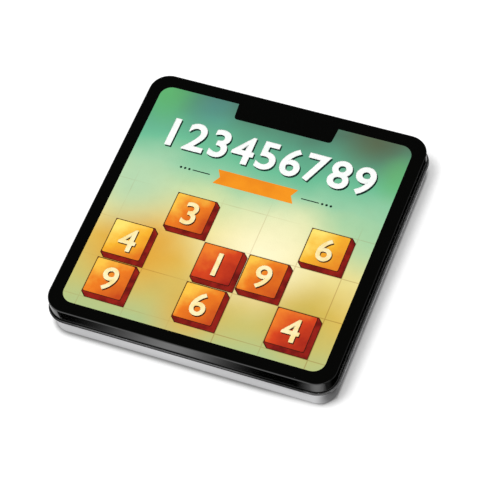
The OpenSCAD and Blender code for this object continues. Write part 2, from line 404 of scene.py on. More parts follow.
class Finish(ABC):
    """A surface finish, made into a material once and shared."""

    name: str

    @abstractmethod
    def paint(self, sheet: NodeSheet) -> Inputs:
        """Draws the finish.

        Args:
            sheet: The material's sheet of nodes.

        Returns:
            Values and sockets for the shader's inputs.
        """

    def material(self) -> bpy.types.Material:
        """Makes the finish into a material.

        Returns:
            The material, the same one on every call.
        """
        label = f"finish_{self.name}"
        if label in bpy.data.materials:
            return bpy.data.materials[label]
        made = bpy.data.materials.new(label)
        made.use_nodes = True
        sheet = NodeSheet(made.node_tree)
        sheet.fill(made.node_tree.nodes["Principled BSDF"], self.paint(sheet))
        return made


@dataclass(frozen=True)
class HemWearAndPaintedLight:
    """Wear of the lid's hem with painted light on it: bare metal that paints a highlight on the crest and the
    right side, and painted shade under it, by the height above its middle and the distance from the right
    side.
    """

    middle: float = 12.0 * MM
    bead: Span = (0.1 * MM, 0.3 * MM)
    patches: Span = (0.05, 0.55)
    corner: Span = (-15 * MM, -11 * MM)
    corner_share: float = 0.3
    right: Span = (-3 * MM, 0.0)
    flank: Span = (-0.3 * MM, 0.0)
    flank_share: float = 0.8
    crest: float = 0.57 * MM
    crest_reach: Span = (0.17 * MM, 0.05 * MM)
    crest_share: float = 0.9
    highlight_middle: float = -12 * MM
    highlight_middle_reach: Span = (60 * MM, 8 * MM)
    least: float = 0.08
    under: Span = (0.44 * MM, 0.3 * MM)

    def shares(self, sheet: NodeSheet, skin: Socket, half: float) -> tuple[Socket, Socket]:
        """Finds where bare metal paints a highlight on the hem's crest and right side, partly as wear, and
        where painted shade blacks out its underside.

        Args:
            sheet: The material's sheet of nodes.
            skin: Distance outwards from the lid's plain side.
            half: From the lid's middle to its plain side.

        Returns:
            The shares of bare metal, worn and painted highlight, and of painted shade.
        """
        place = sheet.place()
        x, _, z = sheet.axes(place)
        above = sheet.minus(z, self.middle)
        beside = sheet.minus(x, half)
        uneven = sheet.fade(sheet.noise(place, scale=220.0, detail=3.0), self.patches)
        # Painted highlight: bare metal near and along the right side gives the lighter strip there, and keeps
        # the painted shade off it.
        corner = sheet.times(sheet.fade(beside, self.corner), self.corner_share)
        right_highlight = sheet.most(corner, sheet.fade(beside, self.right))
        # Painted highlight, partly wear: a band of bare metal on the crest, strongest in the middle of the
        # front, gives the hem its light line.
        crest = sheet.fade(sheet.size(sheet.minus(above, self.crest)), self.crest_reach)
        highlight_middle = sheet.fade(sheet.size(sheet.minus(x, self.highlight_middle)), self.highlight_middle_reach)
        crest = sheet.times(crest, sheet.blend(highlight_middle, self.least, 1.0), self.crest_share)
        flank = sheet.times(right_highlight, self.flank_share, sheet.fade(above, self.flank))
        wear_and_highlight = sheet.times(sheet.most(crest, flank), sheet.fade(skin, self.bead), uneven)
        # Painted shade: the underside of the hem turns to black metal, which reflects nothing, drawing a dark
        # line above the base, except at the right side.
        painted_under_shade = sheet.times(sheet.fade(above, self.under), sheet.minus(1.0, right_highlight))
        return wear_and_highlight, painted_under_shade


@dataclass(frozen=True)
class LidLacquer(Finish):
    """Gloss black lacquer on the outside of the lid, worn along the hem where it also carries a painted
    highlight and painted shade, and bare tinplate inside it.
    """

    name: str = "black_lacquer"
    black: Colour = (0.0005, 0.0006, 0.0003, 1.0)
    bare: Colour = (0.62, 0.62, 0.63, 1.0)
    half: float = 72.5 * MM
    corner: float = 10 * MM
    edge: float = 1 * MM
    top: float = 21 * MM
    depth: float = 0.15 * MM
    marks: Handling = Handling(gloss=0.1, spread=0.05, grain=700.0)
    bare_gloss: float = 0.24
    specular: float = 1.0
    hem_wear_and_light: HemWearAndPaintedLight = HemWearAndPaintedLight()

    def paint(self, sheet: NodeSheet) -> Inputs:
        """Mixes lacquer and bare metal by the side of the sheet, the wear and the painted highlight, and
        blacks out the hem's underside as painted shade.

        Args:
            sheet: The material's sheet of nodes.

        Returns:
            The shader's inputs.
        """
        given = {"Place": sheet.place(), "Half": self.half, "Corner": self.corner}
        given |= {"Edge": self.edge, "Top": self.top, "Depth": self.depth}
        lid = sheet.group(LidSkin(), given)
        # Bare metal at the hem paints a highlight, and black metal under it paints shade.
        wear_and_highlight, painted_under_shade = self.hem_wear_and_light.shares(sheet, lid["Skin"], self.half)
        metal = sheet.most(lid["Inside"], wear_and_highlight)
        marks = self.marks.draw(sheet)
        return marks | {
            "Base Color": sheet.mix(metal, self.black, self.bare),
            # Painted shade: where the hem's underside is black metal it reflects nothing.
            "Metallic": sheet.most(metal, painted_under_shade),
            "Roughness": sheet.plus(marks["Roughness"], sheet.times(lid["Inside"], self.bare_gloss)),
            "Specular IOR Level": self.specular,
        }


@dataclass(frozen=True)
class Tinplate(Finish):
    """Bare rolled tinplate with fine lines from rolling, darkened by painted shade in its crevices and near
    other pieces.
    """

    name: str = "bare_tinplate"
    metal: Colour = (0.78, 0.78, 0.79, 1.0)
    shade: Colour = (0.68, 0.68, 0.69, 1.0)
    crevice_shade: Colour = (0.16, 0.16, 0.16, 1.0)
    gloss: float = 0.36
    lines: Spot = (20.0, 900.0, 900.0)
    crevice: float = 2.6 * MM
    unshaded: Span = (0.5, 0.9)

    def paint(self, sheet: NodeSheet) -> Inputs:
        """Draws the rolling lines along X and the painted shade near other pieces.

        Args:
            sheet: The material's sheet of nodes.

        Returns:
            The shader's inputs.
        """
        lines = sheet.noise(sheet.stretched(sheet.place(), self.lines), detail=3.0)
        plate = sheet.mix(lines, self.shade, self.metal)
        # Painted shade: where ambient occlusion finds other pieces near, the metal turns dark grey, as under
        # the lid's hem and at its foot.
        unshaded = sheet.fade(sheet.open_air(self.crevice, samples=8), self.unshaded)
        marks = Handling(self.gloss, spread=0.1, grain=1200.0, bump=0.05)
        return marks.draw(sheet) | {"Base Color": sheet.mix(unshaded, self.crevice_shade, plate), "Metallic": 1.0}


@dataclass(frozen=True)
class MouldedSheet(Finish):
    """Formed plastic sheet with a fine matt grain."""

    name: str = "tray_plastic"
    colour: Colour = (0.012, 0.012, 0.013, 1.0)
    worn: Colour = (0.022, 0.022, 0.023, 1.0)
    scuffs: Span = (0.5, 0.75)
    marks: Handling = Handling(gloss=0.5, spread=0.16, grain=1600.0, bump=0.2)

    def paint(self, sheet: NodeSheet) -> Inputs:
        """Adds faint scuffs to the black."""
        scuffs = sheet.fade(sheet.noise(sheet.place(), scale=260.0, detail=6.0), self.scuffs)
        return self.marks.draw(sheet) | {"Base Color": sheet.mix(scuffs, self.colour, self.worn)}


@dataclass(frozen=True)
class GridPrint(Finish):
    """The printed nine by nine grid, with tinted boxes and thin and thick lines."""

    cell: float
    middle_y: float
    name: str = "grid_print"
    paper: Colour = srgb(246, 238, 206)
    tint: Colour = srgb(196, 222, 184)
    thin_line: Colour = srgb(120, 112, 84)
    thick_line: Colour = srgb(34, 44, 38)
    thin: float = 0.14 * MM
    thick: float = 0.42 * MM
    marks: Handling = Handling(gloss=0.42, spread=0.1, bump=0.05)

    def paint(self, sheet: NodeSheet) -> Inputs:
        """Draws boxes and lines from the place on the board.

        Args:
            sheet: The material's sheet of nodes.

        Returns:
            The shader's inputs.
        """
        x, y, _ = sheet.axes(sheet.place())
        half = ROWS / 2
        inside: Value = 1.0
        counts: list[Socket] = []
        for axis, middle in ((x, 0.0), (y, self.middle_y)):
            off = sheet.ratio(sheet.minus(axis, middle), self.cell)
            counts.append(sheet.plus(off, half))
            within = sheet.math("LESS_THAN", sheet.size(off), half + self.thick / self.cell)
            inside = sheet.times(inside, within)

        def near(step: float, reach: float) -> Socket:
            """Whether a line of the given step in cells is within reach."""
            offs = [sheet.times(sheet.off_line(count, step), self.cell) for count in counts]
            return sheet.most(*(sheet.math("LESS_THAN", off, reach) for off in offs))

        boxes = [sheet.math("FLOOR", sheet.ratio(count, BOX_CELLS)) for count in counts]
        pair = 2.0
        odd = sheet.math("MODULO", sheet.plus(*boxes, pair), pair)
        colour = sheet.mix(odd, self.paper, self.tint)
        colour = sheet.mix(near(1, self.thin), colour, self.thin_line)
        colour = sheet.mix(near(BOX_CELLS, self.thick), colour, self.thick_line)
        return self.marks.draw(sheet) | {"Base Color": sheet.mix(inside, self.paper, colour)}


@dataclass(frozen=True)
class PrintedInk(Finish):
    """Ink in one colour family, a little uneven."""

    name: str
    ink: Colour
    second: Colour
    patch: float = 150.0
    gloss: float = 0.4

    def paint(self, sheet: NodeSheet) -> Inputs:
        """Mixes the two inks in soft patches."""
        given = {"Place": sheet.place(), "Ink": self.ink, "Second": self.second, "Patch": self.patch}
        return Handling(self.gloss).draw(sheet) | printed(sheet.group(MottledInk(), given)["Color"])


@dataclass(frozen=True)
class BlockFace(Finish):
    """Face of a printed number block: pale at its upper left and deep at its lower right."""

    name: str
    pale: Colour
    ink: Colour
    deep: Colour
    step: float
    left: float
    front: float
    stops: Spot = (0.12, 0.42, 0.85)
    stroke: float = 0.55
    marks: Handling = Handling()

    def paint(self, sheet: NodeSheet) -> Inputs:
        """Runs the colours from corner to corner of each block.

        Args:
            sheet: The material's sheet of nodes.

        Returns:
            The shader's inputs.
        """
        place = sheet.place()
        x, y, _ = sheet.axes(place)
        ways = (x, self.left), (y, self.front)
        shares = [sheet.math("FRACT", sheet.ratio(sheet.minus(axis, low), self.step)) for axis, low in ways]
        slant = sheet.plus(sheet.minus(*shares), 1.0)
        stroke = sheet.times(sheet.sway(place, scale=130.0, detail=5.0), self.stroke)
        run = sheet.math("ADD", sheet.times(slant, 0.5), stroke, clamp=True)
        colour = sheet.ramp(run, zip(self.stops, (self.pale, self.ink, self.deep)))
        return self.marks.draw(sheet) | printed(colour)


@dataclass(frozen=True)
class Cloud:
    """A soft patch of colour on the lid's print, in halves of its side from its middle."""

    x: float
    y: float
    reach: float
    strength: float
    colour: Colour


@dataclass(frozen=True)
class CloudPanel(Finish):
    """The lid's printed ground: clouds from pale green over cream to dark teal, with faint ruled lines."""

    half: float
    middle: Point
    step: float
    left: float
    front: float
    name: str = "cloud_panel"
    marks: Handling = Handling(gloss=0.36)
    drift: float = 0.5
    ragged: float = 0.3
    line_ink: Colour = srgb(150, 96, 30)
    line_reach: Span = (0.32 * MM, 0.12 * MM)
    line_back: Span = (0.28, 0.05)
    line_cloud: Span = (-0.2, 0.25)
    line_share: float = 0.55
    brush_ink: Colour = srgb(120, 110, 60)
    brush_share: float = 0.16
    hues: tuple[tuple[float, Colour], ...] = (
        (0.0, srgb(176, 196, 136)), (0.12, srgb(200, 192, 110)), (0.27, srgb(222, 190, 90)),
        (0.42, srgb(236, 222, 146)), (0.55, srgb(206, 222, 166)), (0.66, srgb(150, 206, 166)),
        (0.78, srgb(108, 190, 150)), (0.90, srgb(92, 162, 132)), (1.0, srgb(82, 124, 104)),
    )
    clouds: tuple[Cloud, ...] = (
        Cloud(-0.62, -0.42, 0.55, 0.90, srgb(226, 162, 48)),
        Cloud(-0.05, -0.82, 0.40, 0.75, srgb(228, 172, 60)),
        Cloud(0.27, -0.22, 0.64, 0.95, srgb(255, 248, 205)),
        Cloud(0.72, -0.62, 0.42, 0.60, srgb(190, 172, 75)),
        Cloud(0.96, 0.14, 0.46, 0.75, srgb(160, 208, 164)),
        Cloud(-0.88, 0.12, 0.50, 0.85, srgb(178, 214, 176)),
        Cloud(0.72, 0.97, 0.42, 0.75, srgb(92, 98, 70)),
        Cloud(0.98, 0.70, 0.26, 0.60, srgb(104, 182, 104)),
        Cloud(-0.95, 0.95, 0.40, 0.85, srgb(96, 186, 112)),
        Cloud(-0.55, 0.92, 0.32, 0.50, srgb(84, 150, 146)),
    )

    def paint(self, sheet: NodeSheet) -> Inputs:
        """Lays the run from front to back, the clouds and the ruled lines.

        Args:
            sheet: The material's sheet of nodes.

        Returns:
            The shader's inputs.
        """
        place = sheet.place()
        x, y, _ = sheet.axes(place)
        across = sheet.ratio(sheet.minus(x, self.middle[0]), self.half)
        along = sheet.ratio(sheet.minus(y, self.middle[1]), self.half)
        sway = sheet.sway(place, scale=22.0, detail=3.0)
        drift = sheet.plus(along, sheet.times(sway, self.drift))
        run = sheet.math("MULTIPLY", sheet.plus(drift, 1.0), 0.5, clamp=True)
        colour = sheet.ramp(run, self.hues)
        for cloud in self.clouds:
            off = sheet.distance(sheet.minus(across, cloud.x), sheet.minus(along, cloud.y))
            off = sheet.plus(off, sheet.times(sway, self.ragged))
            share = sheet.times(sheet.fade(off, (cloud.reach, 0.0)), cloud.strength)
            colour = sheet.mix(share, colour, cloud.colour)
        ways = (x, self.left), (y, self.front)
        lines = [sheet.off_line(sheet.minus(axis, low), self.step) for axis, low in ways]
        ruled = sheet.most(*(sheet.fade(off, self.line_reach) for off in lines))
        seen = sheet.times(sheet.fade(along, self.line_back), sheet.fade(sway, self.line_cloud))
        colour = sheet.mix(sheet.times(ruled, seen, self.line_share), colour, self.line_ink)
        brush = sheet.times(sheet.sway(place, scale=120.0, detail=6.0), self.brush_share)
        colour = sheet.mix(sheet.size(brush), colour, self.brush_ink)
        return self.marks.draw(sheet) | printed(colour)


@dataclass(frozen=True)
class PageBlock(Finish):
    """Edges of stacked pages."""

    name: str = "page_paper"
    paper: Colour = srgb(240, 234, 216)
    gap: Colour = srgb(196, 186, 164)
    leaves: Spot = (12.0, 12.0, 9000.0)
    gaps: Span = (0.45, 0.65)
    marks: Handling = Handling(gloss=0.7, spread=0.1, grain=600.0, bump=0.1)

    def paint(self, sheet: NodeSheet) -> Inputs:
        """Draws the leaves as lines across the height."""
        leaves = sheet.fade(sheet.noise(sheet.stretched(sheet.place(), self.leaves), detail=1.0), self.gaps)
        return self.marks.draw(sheet) | {"Base Color": sheet.mix(leaves, self.paper, self.gap)}


class Corner(Enum):
    """Corners of a plate, seen from above, as the signs of x and y."""

    BACK_LEFT = (-1, 1)
    BACK_RIGHT = (1, 1)
    FRONT_LEFT = (-1, -1)
    FRONT_RIGHT = (1, -1)


class Element(Enum):
    """What is picked of a mesh in edit mode, by Blender's name for it."""

    EDGES = "EDGE"
    VERTICES = "VERT"


class Bench:
    """Models pieces by hand with Blender's own operators."""

    same_spot: float = 1e-7
    near: float = 0.01 * MM
    curve_steps: int = 6
    figure_thickness: float = 0.5

    @staticmethod
    def select(*pieces: Piece) -> None:
        """Leaves edit mode and selects some pieces alone, of which the first is the active one.

        Args:
            *pieces: The pieces.
        """
        if bpy.context.object and bpy.context.object.mode != "OBJECT":
            bpy.ops.object.mode_set(mode="OBJECT")
        bpy.ops.object.select_all(action="DESELECT")
        for piece in pieces:
            piece.select_set(True)
        if pieces:
            bpy.context.view_layer.objects.active = pieces[0]

    @staticmethod
    def settle(name: str) -> Piece:
        """Names the active piece and puts its place into its mesh.

        Args:
            name: Name of the piece.

        Returns:
            The piece, at the origin.
        """
        bpy.ops.object.transform_apply(location=True, rotation=True, scale=True)
        piece = bpy.context.object
        piece.name = name
        piece.data.name = name
        return piece

    @staticmethod
    def limits(piece: Piece) -> tuple[Vector, Vector]:
        """The lowest and the highest corner of a piece's mesh."""
        spots = [vertex.co for vertex in piece.data.vertices]
        return Vector(map(min, zip(*spots))), Vector(map(max, zip(*spots)))

    @classmethod
    def open(cls, piece: Piece) -> None:
        """Opens one piece in edit mode."""
        cls.select(piece)
        bpy.ops.object.mode_set(mode="EDIT")

    @classmethod
    def pick(cls, piece: Piece, kind: Element, wanted: Callable[[object], bool]) -> None:
        """Opens a piece in edit mode with some of its edges or vertices selected.

        Args:
            piece: The piece.
            kind: Whether edges or vertices are picked.
            wanted: Tells which of them.
        """
        cls.open(piece)
        bpy.ops.mesh.select_mode(type=kind.value)
        bpy.ops.mesh.select_all(action="DESELECT")
        bpy.ops.object.mode_set(mode="OBJECT")
        for item in piece.data.edges if kind is Element.EDGES else piece.data.vertices:
            item.select = wanted(item)
        bpy.ops.object.mode_set(mode="EDIT")

    @classmethod
    def narrow(cls, piece: Piece, share: float, middle: Vector, wanted: Callable[[object], bool]) -> None:
        """Draws some vertices of a piece in along X.

        Args:
            piece: The piece.
            share: Width that is left.
            middle: Where they are drawn to.
            wanted: Tells which vertices.
        """
        cls.pick(piece, Element.VERTICES, wanted)
        bpy.ops.transform.resize(value=(share, 1, 1), center_override=middle)
        bpy.ops.object.mode_set(mode="OBJECT")

    @classmethod
    def bevel_corners(cls, piece: Piece, corners: tuple[Corner, ...], radius: float, steps: int) -> None:
        """Rounds or cuts upright edges of a plate.

        Args:
            piece: The plate.
            corners: Which of its corners.
            radius: How far the cut goes along each side.
            steps: Facets of the rounding, 1 for a straight cut.
        """
        spots = [vertex.co.copy() for vertex in piece.data.vertices]
        middle = sum(spots, Vector()) / len(spots)
        sides = {(corner.value[0] > 0, corner.value[1] > 0) for corner in corners}

        def wanted(edge: bpy.types.MeshEdge) -> bool:
            """Whether an edge is upright and at one of the corners."""
            low, high = (spots[index] - middle for index in edge.vertices)
            return (low - high).xy.length < cls.same_spot and (low.x > 0, low.y > 0) in sides

        cls.pick(piece, Element.EDGES, wanted)
        bpy.ops.mesh.bevel(offset=radius, segments=steps, affect="EDGES")
        bpy.ops.object.mode_set(mode="OBJECT")

    @classmethod
    def plate(cls, name: str, low: Vector, high: Vector, radius: float,
              corners: tuple[Corner, ...] = tuple(Corner), steps: int = 8) -> Piece:
        """A flat plate with rounded or cut corners.

        Args:
            name: Name of the piece.
            low: Lowest corner.
            high: Highest corner.
            radius: Radius of the corners.
            corners: Which corners are worked.
            steps: Facets of each corner.

        Returns:
            The plate.
        """
        cls.select()
        bpy.ops.mesh.primitive_cube_add(size=1, location=(low + high) / 2)
        bpy.context.object.scale = high - low
        piece = cls.settle(name)
        cls.bevel_corners(piece, corners, radius, steps)
        return piece

    @classmethod
    def number(cls, name: str, figure: int, height: float, spot: Vector,
               depth: float, weight: float) -> Piece:
        """A plain number as a thin raised print.

        Args:
            name: Name of the piece.
            figure: The number.
            height: Height of the figure.
            spot: Middle of its underside.
            depth: Thickness of the print.
            weight: How far the strokes are fattened, as a share of the height.

        Returns:
            The number as a mesh.
        """
        cls.select()
        bpy.ops.object.text_add()
        words = bpy.context.object.data
        words.body = str(figure)
        words.resolution_u = cls.curve_steps
        words.bevel_depth = weight
        words.bevel_resolution = 0
        words.extrude = cls.figure_thickness
        bpy.ops.object.convert(target="MESH")
        piece = bpy.context.object
        low, high = cls.limits(piece)
        size, rise = height / (high.y - low.y), depth / (high.z - low.z)
        piece.scale = (size, size, rise)
        middle = (low + high) / 2
        piece.location = spot - Vector((middle.x * size, middle.y * size, low.z * rise))
        return cls.settle(name)

    @classmethod
    def join(cls, name: str, pieces: list[Piece]) -> Piece:
        """Makes one piece of several, with their finishes.

        Args:
            name: Name of the joined piece.
            pieces: The pieces, of which the first takes in the others.

        Returns:
            The joined piece.
        """
        cls.select(*pieces)
        bpy.ops.object.join()
        return cls.settle(name)


def dress(piece: Piece, finish: Finish) -> Piece:
    """Gives a piece one finish.

    Args:
        piece: The piece or CAD node.
        finish: Its finish.

    Returns:
        The piece.
    """
    piece.data.materials.clear()
    piece.data.materials.append(finish.material())
    return piece


def fix_to(piece: Piece, body: str, slot: str) -> None:
    """Lets a piece move with a body.

    Args:
        piece: The piece.
        body: Body that carries it.
        slot: Not used.
    """
    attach(piece, body)
    LOG.info("%s rides on %s", piece.name, body)


def dress_nodes(finish: Finish, *names: str) -> None:
    """Gives CAD nodes one finish.

    Args:
        finish: The finish.
        *names: The nodes.
    """
    for name in names:
        dress(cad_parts[name], finish)
        LOG.info("%s is dressed in %s", name, finish.name)


@dataclass
class TinCase:
    """The tin itself: lid, base and hinge pins."""

    wire_gloss: float = 0.28

    def build(self) -> None:
        """Dresses the tin's nodes."""
        low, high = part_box("lid_shell")
        dress_nodes(LidLacquer(half=-low.y - HEM_REACH, top=high.z), "lid_shell")
        dress_nodes(Tinplate(), "base_shell")
        dress_nodes(Tinplate("steel_wire", gloss=self.wire_gloss), "hinge_pin_left", "hinge_pin_right")


class InkTone(Enum):
    """The colours of the printed number blocks: pale, main and deep."""

    ORANGE = (srgb(250, 196, 70), srgb(236, 122, 26), srgb(198, 72, 20))
    RED = (srgb(240, 128, 40), srgb(214, 66, 24), srgb(156, 26, 18))
    YELLOW = (srgb(254, 226, 110), srgb(246, 180, 44), srgb(226, 116, 24))


class Layer(IntEnum):
    """Layers of ink on the lid, from the lowest."""

    GROUND = 1
    SHADE = 2
    PRINT = 3
    EDGE = 4
    FACE = 5
    FIGURE_SHADE = 6
    FIGURE = 7


@dataclass(frozen=True)
class Area:
    """A rectangle on the lid, by its edges."""

    left: float
    front: float
    right: float
    back: float

    @classmethod
    def around(cls, x: float, y: float, wide: float, deep: float) -> "Area":
        """The rectangle about a middle with the given half sides."""
        return cls(x - wide, y - deep, x + wide, y + deep)

    def grown(self, left: float, front: float, right: float, back: float) -> "Area":
        """The rectangle with its edges moved outwards."""
        return Area(self.left - left, self.front - front, self.right + right, self.back + back)


@dataclass
class LidPrint:
    """The picture printed on the lid: a cloudy ground with plain numbers."""

    side: float = 131.7 * MM
    middle: Point = (0.2 * MM, -0.55 * MM)
    corner: float = 6 * MM
    corner_steps: int = 14
    layer: float = 0.015 * MM
    tab_left: float = -25.4 * MM
    tab_right: float = 27 * MM
    tab_front: float = 56.1 * MM
    tab_past: float = 0.4 * MM
    tab_corner: float = 1.8 * MM
    tab_taper: float = 0.975
    step: float = 23 * MM
    columns: int = 5
    front: float = -61.5 * MM
    block: float = 19.6 * MM
    block_depth: float = 2.5 * MM
    outline: float = 0.35 * MM
    face_corner: float = 0.8 * MM
    face_inset: float = 0.1 * MM
    figure_share: float = 0.66
    figure_weight: float = 0.016
    figure_shift: float = 0.55 * MM
    row_height: float = 16.6 * MM
    row_weight: float = 0.022
    row_shift: float = 0.8 * MM
    row_pitch: float = 12.45 * MM
    row_x: float = -0.6 * MM
    row_y: float = 40 * MM
    ribbon_half: float = 20.6 * MM
    ribbon_front: float = 17.3 * MM
    ribbon_back: float = 25.6 * MM
    ribbon_corner: float = 0.2 * MM
    ribbon_notch: float = 2.2 * MM
    stroke_at: float = 28.2 * MM
    stroke_half: Point = (4.6 * MM, 0.28 * MM)
    dots: int = 3
    dot_at: float = 34.4 * MM
    dot_pitch: float = 2.2 * MM
    dot_half: Point = (0.62 * MM, 0.62 * MM)
    dot_round: float = 0.9
    dot_steps: int = 4
    body: str = "lid"
    slot: str = "black_lacquer"

    def __post_init__(self) -> None:
        """Finds the lid's top and the left edge of the blocks."""
        self.top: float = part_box("lid_shell")[1].z
        self.left: float = -self.columns * self.step / 2

    def field(self, name: str, area: Area, layer: Layer, radius: float, finish: Finish,
              corners: tuple[Corner, ...] = tuple(Corner), steps: int = 8) -> Piece:
        """One flat field of ink.

        Args:
            name: Name of the piece.
            area: Where it lies.
            layer: Which layer of ink it is.
            radius: Radius of its corners.
            finish: The ink.
            corners: Which corners are worked.
            steps: Facets of each corner.

        Returns:
            The field.
        """
        low = Vector((area.left, area.front, self.top - self.layer))
        high = Vector((area.right, area.back, self.top + layer * self.layer))
        return dress(Bench.plate(name, low, high, radius, corners, steps), finish)

    def figure(self, figure: int, spot: Point, size: Point, layer: Layer, ink: Finish) -> Piece:
        """Prints one plain number about a spot, of a size that is its height and its strokes' weight."""
        middle = Vector((*spot, self.top))
        return dress(Bench.number("figure", figure, size[0], middle, layer * self.layer, size[1]), ink)

    def fix(self, piece: Piece) -> None:
        """Lets a piece of the print move with the lid."""
        fix_to(piece, self.body, self.slot)

    def ground(self) -> None:
        """Lays the cloudy ground and the black tab at its back edge."""
        half = self.side / 2
        area = Area.around(*self.middle, half, half)
        clouds = CloudPanel(half, self.middle, self.step, self.left, self.front)
        panel = self.field("lid_print_ground", area, Layer.GROUND, self.corner, clouds,
                           steps=self.corner_steps)
        self.fix(panel)
        lower = (Corner.FRONT_LEFT, Corner.FRONT_RIGHT)
        area = Area(self.tab_left, self.tab_front, self.tab_right, area.back + self.tab_past)
        tab = self.field("lid_print_tab", area, Layer.PRINT, self.tab_corner, LidLacquer(), lower)
        low, high = Bench.limits(tab)
        middle = (low + high) / 2
        Bench.narrow(tab, self.tab_taper, middle, lambda vertex: vertex.co.y < middle.y)
        self.fix(tab)

    def number_row(self) -> None:
        """Prints the row of white numbers with its shadow."""
        white = PrintedInk("white_ink", srgb(255, 255, 252), srgb(244, 250, 246), patch=240.0)
        shade = PrintedInk("shadow_ink", srgb(14, 44, 38), srgb(20, 56, 46))
        middle = (ROWS + 1) / 2
        size = self.row_height, self.row_weight
        figures: list[Piece] = []
        shadows: list[Piece] = []
        passes = (shadows, self.row_shift, Layer.SHADE, shade), (figures, 0.0, Layer.PRINT, white)
        for figure in range(1, ROWS + 1):
            x = (figure - middle) * self.row_pitch + self.row_x
            for pile, shift, layer, ink in passes:
                pile.append(self.figure(figure, (x + shift, self.row_y - shift), size, layer, ink))
        self.fix(Bench.join("lid_print_row_shadow", shadows))
        self.fix(Bench.join("lid_print_row", figures))

    def ribbon(self) -> None:
        """Prints the plain ribbon with notched ends and the strokes and dots beside it."""
        ink = PrintedInk("ribbon_ink", srgb(246, 150, 24), srgb(236, 136, 20), patch=90.0)
        dark = PrintedInk("dot_ink", srgb(16, 40, 34), srgb(22, 48, 40))
        area = Area(-self.ribbon_half, self.ribbon_front, self.ribbon_half, self.ribbon_back)
        band = self.field("lid_print_ribbon", area, Layer.SHADE, self.ribbon_corner, ink)
        self.notch(band)
        self.fix(band)
        marks = [(self.stroke_at, self.stroke_half)]
        marks += [(self.dot_at + count * self.dot_pitch, self.dot_half) for count in range(self.dots)]
        y = (self.ribbon_front + self.ribbon_back) / 2
        dots: list[Piece] = []
        for side in (-1, 1):
            for place, half in marks:
                area = Area.around(side * place, y, *half)
                radius = self.dot_round * half[1]
                dots.append(self.field("dot", area, Layer.SHADE, radius, dark, steps=self.dot_steps))
        self.fix(Bench.join("lid_print_dots", dots))

    def notch(self, band: Piece) -> None:
        """Cuts a swallow tail into both ends of the ribbon.

        Args:
            band: The ribbon.
        """
        low, high = Bench.limits(band)
        middle = Vector((0.0, (low.y + high.y) / 2, self.top))
        Bench.open(band)
        bpy.ops.mesh.select_all(action="SELECT")
        bpy.ops.mesh.bisect(plane_co=middle, plane_no=(0, 1, 0), use_fill=False)

        def wanted(vertex: bpy.types.MeshVertex) -> bool:
            """Whether a vertex is in the middle of an end."""
            end = abs(vertex.co.x) > high.x - self.ribbon_corner / 2
            return end and abs(vertex.co.y - middle.y) < Bench.near

        Bench.narrow(band, 1 - self.ribbon_notch / high.x, middle, wanted)

    def block_at(self, column: int, row: int, figure: int, tone: InkTone) -> None:
        """Prints one number block in a cell of the ruled lines.

        Args:
            column: Cell from the left.
            row: Cell from the front.
            figure: Its number.
            tone: Its colours.
        """
        x = self.left + (column + 0.5) * self.step - self.block_depth / 2
        y = self.front + (row + 0.5) * self.step + self.block_depth / 2
        half, drop, rim, inset = self.block / 2, self.block_depth, self.outline, self.face_inset
        line = PrintedInk("outline_ink", srgb(58, 22, 10), srgb(70, 28, 12))
        red = PrintedInk(f"block_side_{tone.name.lower()}", srgb(150, 28, 16), srgb(112, 16, 12), patch=220.0)
        shine = BlockFace(f"block_face_{tone.name.lower()}", *tone.value, self.step, self.left, self.front)
        cream = PrintedInk("figure_ink", srgb(255, 240, 190), srgb(250, 224, 150), patch=260.0)
        cut = (Corner.BACK_RIGHT, Corner.FRONT_LEFT)
        edge = Area.around(x, y, half, half)
        side = edge.grown(0.0, drop, drop, 0.0)
        face = edge.grown(-inset, -rim, -rim, -inset)
        parts = [
            self.field("rim", side.grown(rim, rim, rim, rim), Layer.SHADE, drop, line, cut, steps=1),
            self.field("side", side, Layer.PRINT, drop, red, cut, steps=1),
            self.field("edge", edge, Layer.EDGE, self.face_corner, line),
            self.field("face", face, Layer.FACE, self.face_corner, shine),
        ]
        size = self.figure_share * self.block, self.figure_weight
        for shift, layer, ink in ((self.figure_shift, Layer.FIGURE_SHADE, line), (0.0, Layer.FIGURE, cream)):
            parts.append(self.figure(figure, (x + shift, y - shift), size, layer, ink))
        self.fix(Bench.join(f"lid_print_block_{column}_{row}", parts))

    def build(self) -> None:
        """Prints the whole picture."""
        self.ground()
        self.number_row()
        self.ribbon()
        for column, row, figure, tone in (
            (1, 2, 3, InkTone.ORANGE), (4, 2, 6, InkTone.YELLOW),
            (0, 1, 4, InkTone.YELLOW), (2, 1, 1, InkTone.RED), (3, 1, 9, InkTone.ORANGE),
            (0, 0, 9, InkTone.ORANGE), (2, 0, 6, InkTone.ORANGE), (4, 0, 4, InkTone.RED),
        ):
            self.block_at(column, row, figure, tone)


@dataclass
class PlayingBoard:
    """Steel board with its printed grid."""

    sheet_margin: float = 0.5 * MM
    border: float = 2 * MM
    steel: Colour = (0.16, 0.16, 0.17, 1.0)
    shade: Colour = (0.12, 0.12, 0.13, 1.0)
    gloss: float = 0.42

    def build(self) -> None:
        """Dresses the board and its print."""
        low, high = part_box("board_grid_sheet")
        cell = (high.x - low.x + 2 * self.sheet_margin - 2 * self.border) / ROWS
        dress_nodes(GridPrint(cell, (low.y + high.y) / 2), "board_grid_sheet")
        dress_nodes(Tinplate("board_steel", self.steel, self.shade, gloss=self.gloss), "board_plate")


